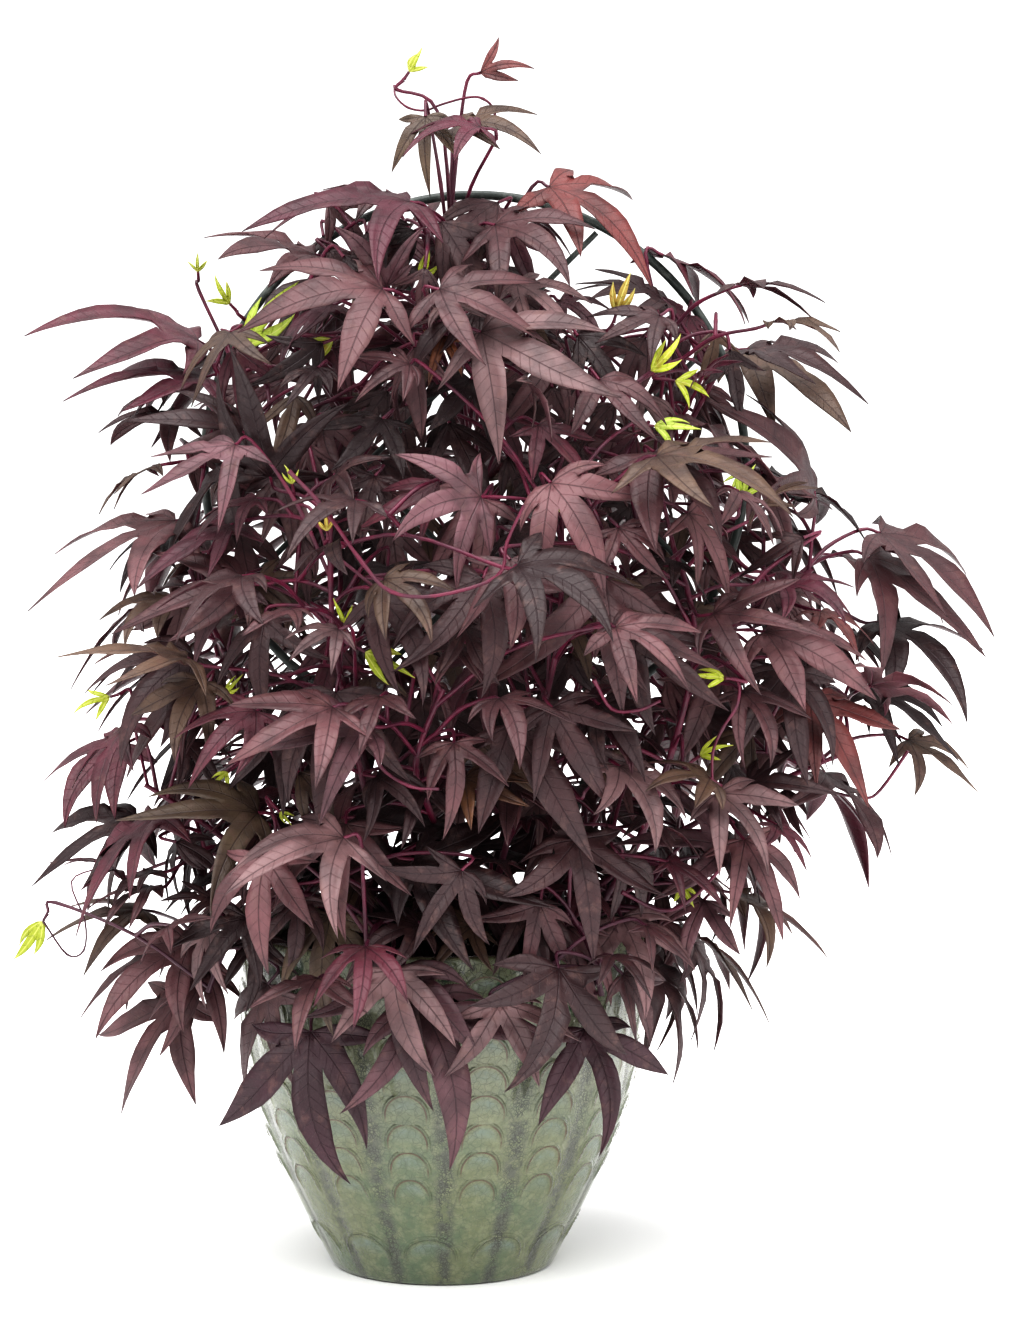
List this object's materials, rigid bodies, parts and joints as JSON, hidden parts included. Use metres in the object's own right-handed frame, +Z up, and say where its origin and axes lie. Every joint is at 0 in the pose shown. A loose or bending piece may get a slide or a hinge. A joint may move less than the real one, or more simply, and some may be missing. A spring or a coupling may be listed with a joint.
{
  "type": "sweet potato vine",
  "caption": "Dark purple lace-leaf sweet potato vine, potted: leafy stems with deeply lobed drooping leaves climb a round wire trellis and spill over a tapered glazed pot.",
  "frame": {"origin": "centre of the pot's flat base, on the ground", "axes": "+Z up; -Y is the front, the side that the picture shows; +X is the picture's right"},
  "size_m": [0.6616, 0.5182, 0.8204],
  "materials": {
    "glaze": "grey-green crackle glaze, glossy",
    "earth": "damp potting soil, rough",
    "coated_steel": "dark grey-green plastic-coated steel wire, satin",
    "foliage": "dark purple-brown leaves and magenta stems, satin",
    "young_leaf": "lime green young leaves, satin"
  },
  "bodies": {
    "root": {"pot": "glaze", "shoot_corner": "young_leaf", "shoot_left_edge": "young_leaf", "shoot_left_high": "young_leaf", "shoot_left_inner": "young_leaf", "shoot_middle": "young_leaf", "shoot_right_fork": "young_leaf", "shoot_right_high": "young_leaf", "shoot_right_loop": "young_leaf", "shoot_right_lower": "young_leaf", "shoot_right_star": "young_leaf", "shoot_top": "young_leaf", "soil": "earth", "trellis_hoop": "coated_steel", "trellis_rod_left_high": "coated_steel", "trellis_rod_left_low": "coated_steel", "trellis_rod_right_high": "coated_steel", "trellis_rod_right_low": "coated_steel", "vine_back_high": "foliage", "vine_back_left": "foliage", "vine_back_low": "foliage", "vine_back_middle": "foliage", "vine_back_right": "foliage", "vine_back_upper": "foliage", "vine_crown": "foliage", "vine_front_left": "foliage", "vine_front_middle": "foliage", "vine_front_right": "foliage", "vine_left_low": "foliage", "vine_left_mid": "foliage", "vine_left_skirt": "foliage", "vine_right_low": "foliage", "vine_right_reach": "foliage", "vine_right_shoulder": "foliage", "vine_skirt_left": "foliage", "vine_skirt_right": "foliage", "vine_upper_left": "foliage", "vine_upper_right": "foliage"}
  },
  "joints": []
}
